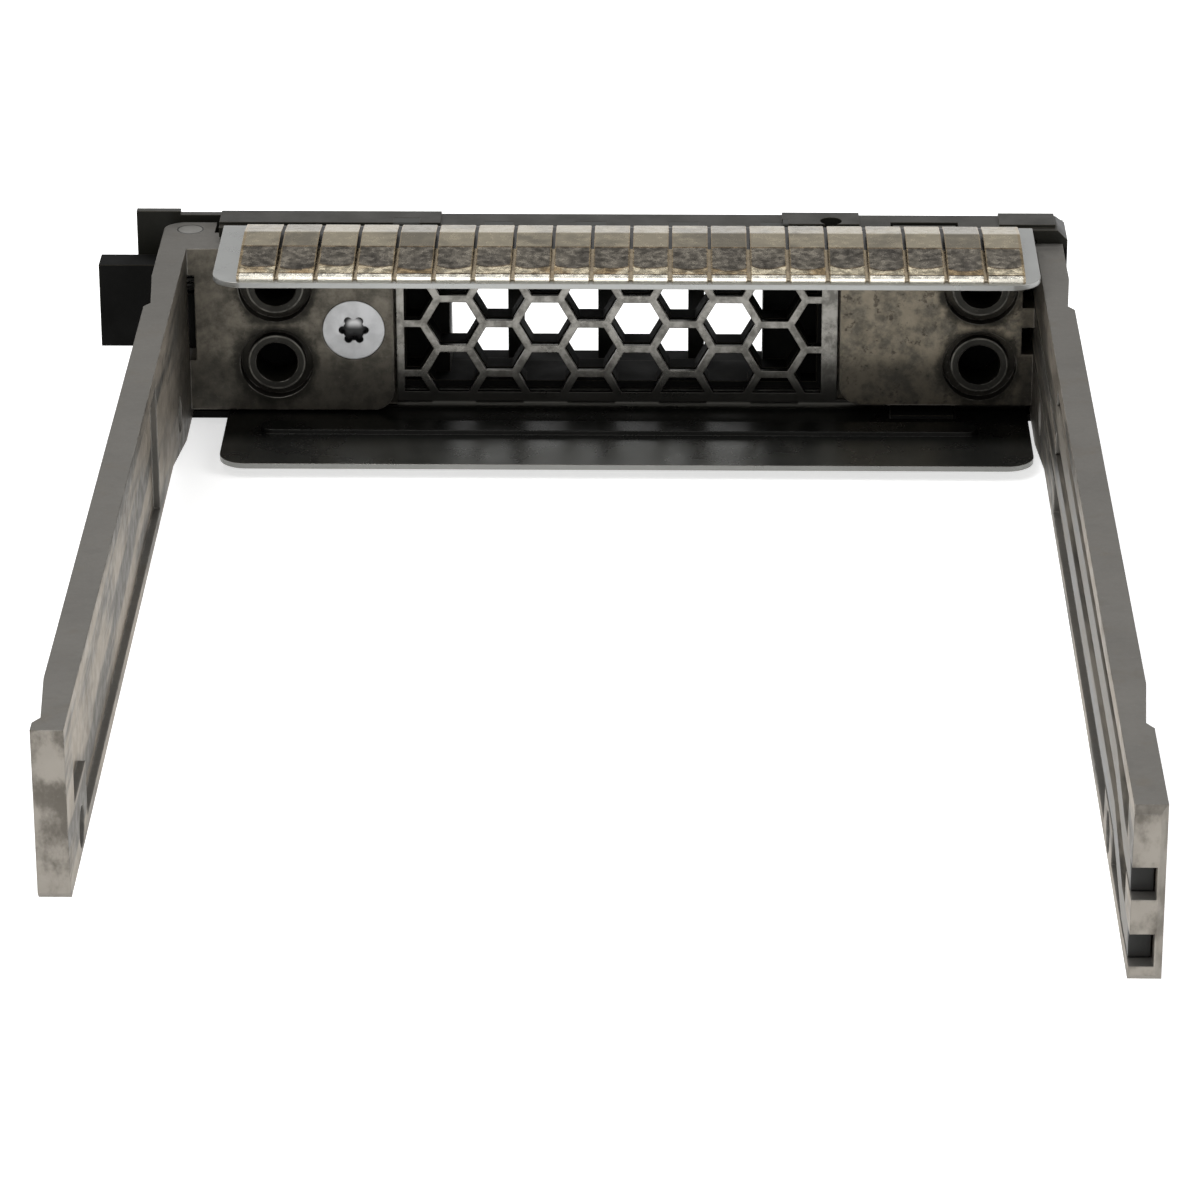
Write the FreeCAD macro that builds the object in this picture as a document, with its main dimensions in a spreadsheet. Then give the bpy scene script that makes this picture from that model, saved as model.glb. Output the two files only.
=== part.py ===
import FreeCAD, Part

import math
import os

import Sketcher
from FreeCAD import Placement, Rotation, Vector

# Hot swap tray for one 2.5 inch drive, closed, in millimetres.
# X runs across the tray, +Y points out of the server's front, +Z is up.
# The origin is the middle of the drive stop plane, level with the underside of the rails.

os.makedirs("parts", exist_ok=True)
doc = FreeCAD.newDocument("drive_caddy")


# ---------------------------------------------------------------- sizes

class Size:
    """A length that keeps its number and the expression that binds it to the sheet."""

    def __init__(self, value, text):
        self.value = float(value)
        self.text = text

    def __add__(self, other):
        other = as_size(other)
        return Size(self.value + other.value, f"({self.text} + {other.text})")

    def __sub__(self, other):
        other = as_size(other)
        return Size(self.value - other.value, f"({self.text} - {other.text})")

    def __mul__(self, other):
        other = as_size(other)
        return Size(self.value * other.value, f"({self.text} * {other.text})")

    def __truediv__(self, other):
        other = as_size(other)
        return Size(self.value / other.value, f"({self.text} / {other.text})")

    def __neg__(self):
        return Size(-self.value, f"(0 - {self.text})")

    __radd__ = __add__
    __rmul__ = __mul__

    def __rsub__(self, other):
        return as_size(other) - self


def as_size(number):
    return number if isinstance(number, Size) else Size(number, f"({float(number)})")


ZERO = as_size(0)
sheet = doc.addObject("Spreadsheet::Sheet", "Sizes")
sheet_rows = []


def size(alias, value, meaning):
    """Writes one driving dimension to the sheet and returns it."""
    sheet_rows.append(alias)
    row = len(sheet_rows)
    sheet.set(f"A{row}", meaning)
    sheet.set(f"B{row}", str(value))
    sheet.setAlias(f"B{row}", alias)
    return Size(value, f"Sizes.{alias}")


# Drive, which sets the bay
drive_width = size("drive_width", 69.85, "width of a 2.5 inch drive")
drive_height = size("drive_height", 15.0, "height of the tallest 2.5 inch drive")
bay_clearance = size("bay_clearance", 0.225, "gap between drive and rail, each side")
screw_height = size("screw_height", 3.0, "side screw above the drive's underside")
first_screw = size("first_screw", 9.85, "first side screw behind the stop plane")
screw_pitch = size("screw_pitch", 76.6, "distance between the side screws")
screw_hole_radius = size("screw_hole_radius", 1.5, "hole for an M3 drive screw")
screw_sink_radius = size("screw_sink_radius", 2.7, "countersink of the drive screw")
drive_drop = size("drive_drop", 1.2, "drive's underside below the rails' underside")

# Rails of the casting
rail_wall = size("rail_wall", 2.25, "thickness of a side rail")
rail_height = size("rail_height", 12.66, "height of a side rail")
left_rail_length = size("left_rail_length", 94.1, "left rail behind the stop plane")
right_rail_length = size("right_rail_length", 105.05, "right rail behind the stop plane")
recess_depth = size("recess_depth", 0.55, "recess of a rail's inner face")
recess_start = size("recess_start", 27.8, "front end of the recess behind the stop plane")
recess_tail = size("recess_tail", 4.2, "full wall left at the rail's tip")
lip_bottom = size("lip_bottom", 1.0, "lip under the recess")
lip_top = size("lip_top", 1.3, "lip above the recess")
boss_radius = size("boss_radius", 3.4, "boss round a drive screw hole in the recess")
notch_depth = size("notch_depth", 0.5, "depth of the outer wedge notches")
front_notch = size("front_notch", 6.5, "start of the front notch behind the stop plane")
rear_notch = size("rear_notch", 85.8, "start of the rear notch behind the stop plane")
notch_run = size("notch_run", 6.3, "length of a notch's slope")
notch_step = size("notch_step", 0.8, "length of a notch's steep end")
lug_drop = size("lug_drop", 2.4, "lug below the rail at the front screw")
lug_flat = size("lug_flat", 5.0, "level part of the lug's underside")
lug_reach = size("lug_reach", 16.5, "rear end of the lug's slope")
tip_chamfer = size("tip_chamfer", 0.5, "chamfer on the rails' tips")

# Front wall of the casting
pad_depth = size("pad_depth", 4.0, "thickness of the pads")
left_pad_width = size("left_pad_width", 17.05, "width of the left pad")
right_pad_width = size("right_pad_width", 16.1, "width of the right pad")
left_pad_drop = size("left_pad_drop", 1.6, "left pad below the rails' underside")
right_pad_drop = size("right_pad_drop", 0.95, "right pad below the rails' underside")
pad_corner = size("pad_corner", 1.8, "radius of the pads' lower inner corners")
wall_start = size("wall_start", 2.0, "rear face of the cross wall")
wall_drop = size("wall_drop", 1.8, "cross wall below the rails' underside")
header_height = size("header_height", 1.5, "upper bar of the cross wall")
bore_radius = size("bore_radius", 1.75, "hole of a tube boss")
tube_radius = size("tube_radius", 2.4, "outside of a tube boss")
tube_moat = size("tube_moat", 0.65, "width of the moat round a tube boss")
moat_depth = size("moat_depth", 1.0, "depth of the moat")
tube_sink = size("tube_sink", 0.25, "tube rim below the pad's face")
left_bore_inset = size("left_bore_inset", 7.25, "left bores from the left rail")
right_bore_inset = size("right_bore_inset", 4.45, "right bores from the right rail")
bore_height = size("bore_height", 2.55, "lower bores above the rails' underside")
bore_rise = size("bore_rise", 6.75, "upper bores above the lower ones")
snap_inset = size("snap_inset", 9.15, "middle of the snap lug and hook from the right rail")
snap_width = size("snap_width", 5.2, "width of the snap lug and hook")
snap_depth = size("snap_depth", 1.1, "depth of the snap lug")
snap_gap = size("snap_gap", 0.2, "gap round the snap lug and hook")

# Hinge
pivot_inset = size("pivot_inset", 2.2, "hinge axis inside the left rail's outer face")
pivot_y = size("pivot_y", 4.8, "hinge axis in front of the stop plane")
pin_radius = size("pin_radius", 1.15, "radius of the hinge pin")
pin_clearance = size("pin_clearance", 0.05, "gap between pin and hub")
ear_reach = size("ear_reach", 1.75, "ears in front of the hinge axis")
ear_inner = size("ear_inner", 2.1, "ears right of the hinge axis")
ear_round = size("ear_round", 1.7, "radius of the ears' outer corner")
lower_ear = size("lower_ear", 2.8, "thickness of the lower ear")
upper_ear = size("upper_ear", 2.35, "thickness of the upper ear")
ear_gap = size("ear_gap", 0.15, "gap between hub and ears")
slot_reach = size("slot_reach", 0.55, "slot beside the left rail, in the pad's face")
window_reach = size("window_reach", 1.4, "hook window behind the stop plane")
window_skin = size("window_skin", 0.5, "wall left inside the hook window")
hub_radius = size("hub_radius", 2.1, "radius of the handle's hub")
coil_space = size("coil_space", 2.46, "room above the hub for the spring")
spring_room = size("spring_room", 0.25, "gap round the handle spring")
coil_radius = size("coil_radius", 1.75, "mean radius of the handle spring")
coil_wire = size("coil_wire", 0.36, "wire of the handle spring")
coil_pitch = size("coil_pitch", 0.44, "pitch of the handle spring")

# Shield
sheet_metal = size("sheet_metal", 0.45, "thickness of the shield")
web_start = size("web_start", 1.5, "rear face of the shield's web")
shield_left_gap = size("shield_left_gap", 3.1, "gap between the left rail and the shield")
shield_right_gap = size("shield_right_gap", 0.35, "gap between the right rail and the shield")
flange_top_gap = size("flange_top_gap", 0.05, "gap between drive and upper flange")
flange_low_gap = size("flange_low_gap", 0.6, "gap between drive and lower flange")
flange_reach = size("flange_reach", 11.5, "lower flange behind the stop plane")
upper_reach = size("upper_reach", 12.5, "upper flange behind the stop plane")
flange_corner = size("flange_corner", 2.3, "corner radius of the flanges")
bend_radius = size("bend_radius", 0.95, "outer bend radius of the shield")
shield_fit = size("shield_fit", 0.15, "gap between the web's cut-outs and the pads")
cell_pitch = size("cell_pitch", 4.43, "pitch of the honeycomb across the flats")
cell_strut = size("cell_strut", 0.62, "width of the honeycomb's struts")
cell_column = size("cell_column", 13.2, "a column of cells left of the middle")
cell_low = size("cell_low", 1.13, "lowest cell centre of that column")
field_left = size("field_left", 17.3, "honeycomb's left edge from the middle")
field_right = size("field_right", 17.55, "honeycomb's right edge from the middle")
field_drop = size("field_drop", 0.5, "honeycomb's straight lower edge below the rails' underside")
field_top = size("field_top", 10.9, "honeycomb's upper edge")
bead_place = size("bead_place", 3.9, "middle of the lower flange's bead behind the stop plane")
bead_width = size("bead_width", 2.2, "width of the bead")
bead_height = size("bead_height", 0.4, "height of the bead")
bead_left_inset = size("bead_left_inset", 2.95, "bead's left end from the shield's")
bead_right_inset = size("bead_right_inset", 4.3, "bead's right end from the shield's")

# Contact fingers
finger_left_inset = size("finger_left_inset", 2.05, "strip's left end from the shield's")
finger_count = 20
finger_slit = size("finger_slit", 0.3, "slit between two fingers")
finger_right_inset = size("finger_right_inset", 1.3, "strip's right end from the shield's")
finger_sheet = size("finger_sheet", 0.14, "thickness of the strip")
lip_inset = size("lip_inset", 0.4, "folded lip inside the flange's edge")
lip_rise = size("lip_rise", 0.4, "height of the folded lip")
crease = size("crease", 6.3, "ridge of the fingers behind the stop plane")
finger_bend = size("finger_bend", 1.8, "bend radius of the fingers")
finger_tip = size("finger_tip", 0.1, "fingers' tips in front of the stop plane")
finger_rise = size("finger_rise", 0.95, "height of the arch above the flange")
finger_tip_rise = size("finger_tip_rise", 0.5, "tips above the flange")
spine_end = size("spine_end", 4.6, "front end of the flat spine behind the stop plane")

# Bezel
bezel_space = size("bezel_space", 0.5, "gap between the ears and the bezel")
bezel_overhang = size("bezel_overhang", 0.45, "bezel beyond the right rail's outer face")
bezel_base = size("bezel_base", 3.3, "bezel's underside below the rails' underside")
bezel_step = size("bezel_step", 1.04, "bezel's upper face above the rails")
bezel_chamfer = size("bezel_chamfer", 0.85, "chamfer along the bezel's upper front edge")
bezel_start = size("bezel_start", 2.35, "rear edge of the bezel's walls")
bezel_skin = size("bezel_skin", 0.6, "thickness of the bezel's lower wall")
bezel_roof = size("bezel_roof", 0.85, "thickness of the bezel's upper wall")
wall_gap = size("wall_gap", 0.15, "gap between casting and bezel plate")
plate_front = size("plate_front", 6.8, "front face of the bezel plate")
land_height = size("land_height", 0.28, "height of the lands on the upper wall")
land_inset = size("land_inset", 0.6, "lands inside the upper wall's rear edge")
land_start = size("land_start", 2.0, "right land inside the end block")
grille_left = size("grille_left", 13.6, "grille window's left side from the middle")
grille_right = size("grille_right", 12.7, "grille window's right side from the middle")
grille_top = size("grille_top", 10.6, "grille window's top")
grille_margin = size("grille_margin", 0.2, "gap between bezel grille and casting")
front_face = size("front_face", 9.6, "front faces of bezel and handle")
end_length = size("end_length", 7.65, "length of the fixed end block")
end_drop = size("end_drop", 0.3, "end block below the handle's top")
end_chamfer = size("end_chamfer", 1.0, "chamfer of the end block")
dot_place = size("dot_place", 18.25, "round hole in the upper wall, from the middle")
dot_radius = size("dot_radius", 0.9, "radius of that hole")
bezel_screw_inset = size("bezel_screw_inset", 3.32, "bezel screw inside the left pad's edge")
bezel_screw_z = size("bezel_screw_z", 5.51, "bezel screw above the rails' underside")
head_radius = size("head_radius", 2.6, "radius of the bezel screw's head")
head_depth = size("head_depth", 1.3, "height of the screw's cone")
shank_radius = size("shank_radius", 1.15, "radius of the bezel screw's shank")
screw_length = size("screw_length", 6.0, "length of the bezel screw")
screw_gap = size("screw_gap", 0.05, "gap round the bezel screw")
lobe_reach = size("lobe_reach", 1.25, "tip of the screw drive's lobes")
lobe_depth = size("lobe_depth", 1.1, "depth of the screw drive")

# Handle
handle_overhang = size("handle_overhang", 2.5, "handle beyond the left rail's outer face")
latch_span = size("latch_span", 9.6, "handle's right end from the end block")
handle_gap = size("handle_gap", 0.25, "gap between bezel plate and handle")
handle_base = size("handle_base", 2.5, "handle's underside below the rails' underside")
handle_step = size("handle_step", 0.04, "handle's top above the rails")
handle_rise = size("handle_rise", 0.75, "height of the handle's raised left end")
low_rise = size("low_rise", 0.45, "height of the raised part above the hinge")
rise_offset = size("rise_offset", 1.0, "raised left end's step beyond the hinge axis")
floor_reach = size("floor_reach", 0.8, "bezel's lower wall beyond the hinge axis")
handle_round = size("handle_round", 0.9, "radius of the handle's front edges")
handle_bar = size("handle_bar", 1.35, "bars between the handle's windows")
bar_pitch = size("bar_pitch", 7.6, "pitch of the bars")
first_bar = size("first_bar", 8.1, "first bar left of the middle")
window_sill = size("window_sill", 0.15, "sill of the handle's windows")
window_top = size("window_top", 10.2, "top of the handle's windows")
hook_overhang = size("hook_overhang", 5.4, "hook's tip beyond the left rail's outer face")
hook_back = size("hook_back", 2.9, "hook's rear face in front of the stop plane")
hook_depth = size("hook_depth", 2.6, "thickness of the hook")
neck_half = size("neck_half", 1.75, "half width of the neck between hub and plate")

# Release button
latch_gap = size("latch_gap", 0.2, "gap between handle and button")
button_width = size("button_width", 7.4, "width of the button's cap")
button_travel = size("button_travel", 1.5, "travel of the button")
button_proud = size("button_proud", 0.3, "cap in front of the handle")
button_low = size("button_low", 0.6, "underside of the cap")
button_high = size("button_high", 10.6, "top of the cap")
button_gap = size("button_gap", 0.15, "gaps round the button")
stem_inset = size("stem_inset", 1.6, "stem's left side from the cap's left side")
stem_width = size("stem_width", 3.6, "width of the stem")
stem_low = size("stem_low", 3.6, "underside of the stem")
stem_high = size("stem_high", 7.6, "top of the stem")
foot_step = size("foot_step", 1.0, "foot beyond the stem, above and below")
foot_depth = size("foot_depth", 1.2, "thickness of the foot")
coil_spring_radius = size("coil_spring_radius", 0.75, "mean radius of the button spring")
coil_spring_wire = size("coil_spring_wire", 0.25, "wire of the button spring")
coil_spring_turns = 5
spring_seat = size("spring_seat", 0.05, "gap at each end of the button spring")
spring_length = size("spring_length", 4.0, "length of the button spring in place")

# Light pipes
pipe_gap = size("pipe_gap", 0.1, "gap round a light pipe")
pipe_depth = size("pipe_depth", 1.1, "width of a light pipe across the rail")
pipe_head = size("pipe_head", 1.5, "width of a light pipe's end across the rail")
pipe_inset = size("pipe_inset", 0.05, "pipe's side inside the rail's inner face")
pipe_height = size("pipe_height", 2.15, "height of a light pipe")
pipe_over_screw = size("pipe_over_screw", 0.4, "lower pipe above the drive screw hole")
pipe_spacing = size("pipe_spacing", 4.1, "upper pipe above the lower one")
pipe_dip = size("pipe_dip", 2.45, "drop of the pipes at the rail's tip")
upper_dip = size("upper_dip", 1.7, "drop of the upper pipe at the rail's tip")
pipe_tail = size("pipe_tail", 7.05, "level end of the pipes at the rail's tip")
dip_run = size("dip_run", 8.0, "length of the pipes' drop")
pipe_slot = size("pipe_slot", 1.0, "slots beside the light pipes, in the pad")
pipe_sink = size("pipe_sink", 1.2, "pipe's end inside the rail's tip")
pipe_proud = size("pipe_proud", 0.15, "lens in front of the bezel")

doc.recompute()

# Faces that several pieces share
inner_face = drive_width / 2 + bay_clearance
outer_face = inner_face + rail_wall
left_pad_edge = inner_face - left_pad_width
right_pad_edge = inner_face - right_pad_width
left_bore_place = inner_face - left_bore_inset
right_bore_place = inner_face - right_bore_inset
snap_place = inner_face - snap_inset
bezel_screw_x = left_pad_edge + bezel_screw_inset
shield_left = inner_face - shield_left_gap
shield_right = inner_face - shield_right_gap
bead_left = shield_left - bead_left_inset
bead_right = shield_right - bead_right_inset
finger_start = shield_left - finger_left_inset
finger_pitch = (finger_start + shield_right - finger_right_inset) / finger_count
hole_height = screw_height - drive_drop
bay_floor = -drive_drop
upper_flange = drive_height - drive_drop + flange_top_gap
upper_face = upper_flange + sheet_metal
lower_flange = bay_floor - flange_low_gap
web_front = web_start + sheet_metal
pocket_top = rail_height - upper_ear
pocket_edge = inner_face - slot_reach
pivot_x = outer_face - pivot_inset
hub_base = lower_ear + ear_gap
hook_top = pocket_top - ear_gap
hub_top = hook_top - coil_space
pocket_back = pivot_y - hub_radius - ear_gap
ear_front = pivot_y + ear_reach
hinge_right = -pivot_x + ear_inner
plate_back = pad_depth + wall_gap
bezel_left = pivot_x - ear_inner - bezel_space
bezel_right = outer_face + bezel_overhang
bezel_top = rail_height + bezel_step
floor_left = pivot_x + floor_reach
end_block = bezel_right - end_length
handle_left = outer_face + handle_overhang
handle_right = end_block - latch_span
handle_top = rail_height + handle_step
rise_end = pivot_x + rise_offset
hook_tip = outer_face + hook_overhang
roof_base = bezel_top - bezel_roof
handle_back = plate_front + handle_gap
button_left = handle_right + latch_gap
stem_left = button_left + stem_inset
stem_right = stem_left + stem_width
spring_y = plate_back + button_gap + foot_depth - coil_spring_radius * 0.4
spring_z = (stem_low + stem_high) / 2
spring_end = stem_right + spring_seat + spring_length
dip_end = right_rail_length - pipe_tail
dip_start = dip_end - dip_run
window_low = -field_drop
window_high = rail_height - header_height


# ---------------------------------------------------------------- helpers

PLANE_ROLE = {"X": "YZ_Plane", "Y": "XZ_Plane", "Z": "XY_Plane"}
TOLERANCE = 1e-4


def new_body(label):
    body = doc.addObject("PartDesign::Body", label)
    body.Label = label
    return body


def new_sketch(body, name, axis, place):
    """A sketch on the body's own origin plane across the axis, moved to the given place."""
    plane = [part for part in body.Origin.OriginFeatures if part.Role == PLANE_ROLE[axis]][0]
    offset = -place if axis == "Y" else as_size(place)
    sketch = body.newObject("Sketcher::SketchObject", name)
    sketch.AttachmentSupport = [(plane, "")]
    sketch.MapMode = "FlatFace"
    sketch.AttachmentOffset = Placement(Vector(0, 0, offset.value), Rotation())
    sketch.setExpression("AttachmentOffset.Base.z", offset.text)
    return sketch


def pin_point(sketch, geometry, point, place):
    """Fixes a point of the sketch at a pair of sizes."""
    for kind, length in zip(("DistanceX", "DistanceY"), place):
        length = as_size(length)
        index = sketch.addConstraint(
            Sketcher.Constraint(kind, -1, 1, geometry, point, length.value))
        sketch.setExpression(f"Constraints[{index}]", length.text)


def polygon(*corners):
    """Draws a closed outline through the corners, each a pair of sizes."""
    def draw(sketch):
        places = [Vector(as_size(a).value, as_size(b).value, 0) for a, b in corners]
        first = sketch.GeometryCount
        total = len(places)
        for here in range(total):
            sketch.addGeometry(Part.LineSegment(places[here], places[(here + 1) % total]), False)
        for here in range(total):
            joint = Sketcher.Constraint("Coincident", first + here, 2, first + (here + 1) % total, 1)
            sketch.addConstraint(joint)
        for here, corner in enumerate(corners):
            pin_point(sketch, first + here, 1, corner)
    return draw


def rectangle(left, right, low, high):
    return polygon((left, low), (right, low), (right, high), (left, high))


def circle(across, up, radius):
    def draw(sketch):
        across_size, up_size = as_size(across), as_size(up)
        shape = Part.Circle(Vector(across_size.value, up_size.value, 0), Vector(0, 0, 1), radius.value)
        index = sketch.addGeometry(shape, False)
        pin_point(sketch, index, 3, (across_size, up_size))
        bound = sketch.addConstraint(Sketcher.Constraint("Radius", index, radius.value))
        sketch.setExpression(f"Constraints[{bound}]", radius.text)
    return draw


def extrude(body, name, axis, low, high, *drawings, cut=False):
    """Pads the drawings from low to high along the axis, or pockets them."""
    low, high = as_size(low), as_size(high)
    before = body.Shape.Volume if body.Tip else 0.0
    sketch = new_sketch(body, name + "_sketch", axis, high if axis == "Y" else low)
    for draw in drawings:
        draw(sketch)
    feature = body.newObject("PartDesign::Pocket" if cut else "PartDesign::Pad", name)
    feature.Profile = sketch
    feature.Length = (high - low).value
    feature.setExpression("Length", (high - low).text)
    if cut:
        feature.Reversed = True
    doc.recompute()
    change = body.Shape.Volume - before
    if (change >= 0) == cut or abs(change) < TOLERANCE:
        raise RuntimeError(f"{body.Label}: {name} changes the volume by {change}")
    return feature


def repeat(body, feature, axis, length, count):
    """Repeats a feature along an axis of the body, over the whole length."""
    pattern = body.newObject("PartDesign::LinearPattern", feature.Name + "_row")
    pattern.Originals = [feature]
    role = {"X": "X_Axis", "Y": "Y_Axis", "Z": "Z_Axis"}[axis]
    line = [part for part in body.Origin.OriginFeatures if part.Role == role][0]
    pattern.Direction = (line, [""])
    pattern.Length = length.value
    pattern.setExpression("Length", length.text)
    pattern.Occurrences = count
    body.Tip = pattern
    doc.recompute()
    return pattern


def edges_along(body, axis, *places):
    """Names the straight edges along the axis that stand at the given pairs of sizes."""
    found = []
    others = [index for index in range(3) if index != "XYZ".index(axis)]
    for number, edge in enumerate(body.Shape.Edges, 1):
        if edge.Curve.TypeId != "Part::GeomLine":
            continue
        start, end = edge.Vertexes[0].Point, edge.Vertexes[-1].Point
        if (end - start).Length < TOLERANCE:
            continue
        if any(abs(start[index] - end[index]) > TOLERANCE for index in others):
            continue
        for place in places:
            if all(abs(start[index] - as_size(value).value) < TOLERANCE
                   for index, value in zip(others, place)):
                found.append(f"Edge{number}")
                break
    if not found:
        raise RuntimeError(f"{body.Label}: no edge along {axis} at the places given")
    return found


def dress(body, name, kind, amount, edges):
    """Rounds or chamfers edges of the body's tip."""
    base = body.Tip
    feature = body.newObject(f"PartDesign::{kind}", name)
    feature.Base = (base, edges)
    prop = "Radius" if kind == "Fillet" else "Size"
    setattr(feature, prop, amount.value)
    feature.setExpression(prop, amount.text)
    body.Tip = feature
    doc.recompute()
    return feature


def hexagon(across, up, flat):
    """A flat-topped hexagonal cell of the given width across its flats."""
    corner = flat / math.sqrt(3)
    return polygon((across - corner, up), (across - corner / 2, up - flat / 2),
                   (across + corner / 2, up - flat / 2), (across + corner, up),
                   (across + corner / 2, up + flat / 2), (across - corner / 2, up + flat / 2))


def honeycomb(body, name, low, high, flat):
    """Cuts the two interleaved sets of cell columns through a wall across Y."""
    column = cell_pitch * (math.sqrt(3) / 2)
    upright = (("even", -cell_column, cell_low, range(3)),
               ("odd", -cell_column - column, cell_low + cell_pitch / 2, range(-1, 3)))
    for part, start, base, rows in upright:
        cells = [hexagon(start, base + cell_pitch * row, flat) for row in rows]
        cut = extrude(body, f"{name}_{part}", "Y", low, high, *cells, cut=True)
        repeat(body, cut, "X", column * 8, 5)


def turn(body, name, centre, outline, axis, cut=False):
    """Revolves an outline about the X or Y axis through the centre, in the plane z = centre."""
    before = body.Shape.Volume if body.Tip else 0.0
    sketch = new_sketch(body, name + "_sketch", "Z", centre[2])
    for letter, place in zip("xy", centre):
        place = as_size(place)
        setattr(sketch, "AttachmentOffset", moved(sketch.AttachmentOffset, letter, place.value))
        sketch.setExpression(f"AttachmentOffset.Base.{letter}", place.text)
    outline(sketch)
    feature = body.newObject("PartDesign::Groove" if cut else "PartDesign::Revolution", name)
    feature.Profile = sketch
    feature.ReferenceAxis = (sketch, ["V_Axis" if axis == "Y" else "H_Axis"])
    feature.Angle = 360
    doc.recompute()
    change = body.Shape.Volume - before
    if (change >= 0) == cut or abs(change) < TOLERANCE:
        raise RuntimeError(f"{body.Label}: {name} changes the volume by {change}")
    return feature


def moved(placement, letter, value):
    base = Vector(placement.Base)
    setattr(base, letter, value)
    return Placement(base, placement.Rotation)


# ---------------------------------------------------------------- light pipes

lower_pipe = hole_height + screw_hole_radius + pipe_over_screw
upper_pipe = lower_pipe + pipe_spacing
PIPES = (("lower_light_pipe", lower_pipe, pipe_dip), ("upper_light_pipe", upper_pipe, upper_dip))


def pipe_outline(low, dip, gap, rear, front):
    """A pipe's side view: level along the rail, stepping down near the tip."""
    return polygon((rear, low - dip - gap), (-dip_end, low - dip - gap), (-dip_start, low - gap),
                   (front, low - gap), (front, low + pipe_height + gap),
                   (-dip_start, low + pipe_height + gap), (-dip_end, low - dip + pipe_height + gap),
                   (rear, low - dip + pipe_height + gap))


def make_light_pipe(name, low, dip):
    body = new_body(name)
    side = inner_face + pipe_inset
    end = -right_rail_length + pipe_sink
    extrude(body, f"{name}_bar", "X", side, side + pipe_depth,
            pipe_outline(low, dip, ZERO, end, front_face + pipe_proud))
    extrude(body, f"{name}_head", "X", side, side + pipe_head,
            rectangle(end, -dip_end, low - dip, low - dip + pipe_height))
    return body


# ---------------------------------------------------------------- casting

def notch(side, start):
    """A wedge notch in the outer face, seen from above."""
    face = outer_face * side
    return polygon((face, -start), (face - notch_depth * side, -start - notch_run),
                   (face, -start - notch_run - notch_step),
                   (face + notch_depth * side, -start - notch_run - notch_step),
                   (face + notch_depth * side, -start))


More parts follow.
